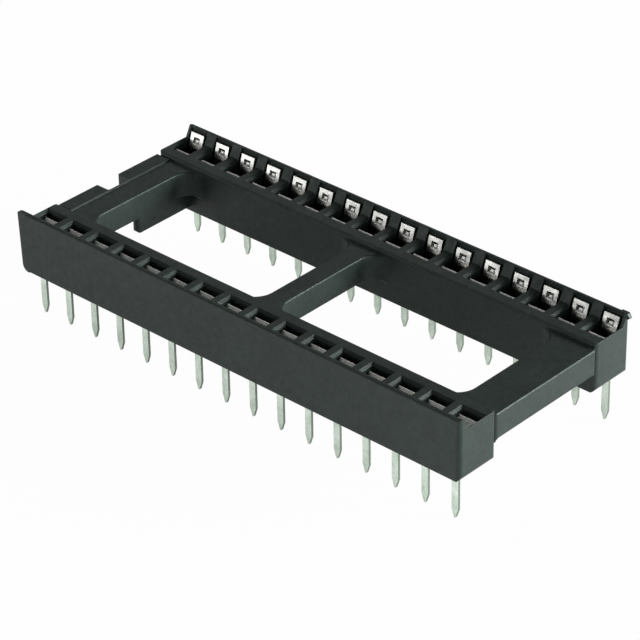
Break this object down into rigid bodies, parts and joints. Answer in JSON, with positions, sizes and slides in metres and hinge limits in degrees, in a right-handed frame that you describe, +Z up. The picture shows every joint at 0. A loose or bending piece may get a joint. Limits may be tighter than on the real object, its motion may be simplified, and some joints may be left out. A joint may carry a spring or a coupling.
{
  "type": "dip socket",
  "caption": "Open-frame dual-in-line socket: black moulded ladder frame with two rows of stamped dual-leaf contacts and solder tails.",
  "frame": {"origin": "centre of the contact grid, on the plane where the moulding rests on the board", "axes": "+X along the contact rows, away from the orientation notch; +Y from the row of contacts 1-16 to the row of contacts 17-32; +Z up out of the board, towards the package"},
  "size_m": [0.0406, 0.0174, 0.0082],
  "materials": {
    "moulding": "black glass-filled polyester, fine moulded grain, satin",
    "contact_plating": "tin-plated stamped strip, bright on the leaves and satin on the tails"
  },
  "bodies": {
    "root": {"housing": "moulding", "contact_01": "contact_plating", "contact_02": "contact_plating", "contact_03": "contact_plating", "contact_04": "contact_plating", "contact_05": "contact_plating", "contact_06": "contact_plating", "contact_07": "contact_plating", "contact_08": "contact_plating", "contact_09": "contact_plating", "contact_10": "contact_plating", "contact_11": "contact_plating", "contact_12": "contact_plating", "contact_13": "contact_plating", "contact_14": "contact_plating", "contact_15": "contact_plating", "contact_16": "contact_plating", "contact_17": "contact_plating", "contact_18": "contact_plating", "contact_19": "contact_plating", "contact_20": "contact_plating", "contact_21": "contact_plating", "contact_22": "contact_plating", "contact_23": "contact_plating", "contact_24": "contact_plating", "contact_25": "contact_plating", "contact_26": "contact_plating", "contact_27": "contact_plating", "contact_28": "contact_plating", "contact_29": "contact_plating", "contact_30": "contact_plating", "contact_31": "contact_plating", "contact_32": "contact_plating"}
  },
  "joints": []
}
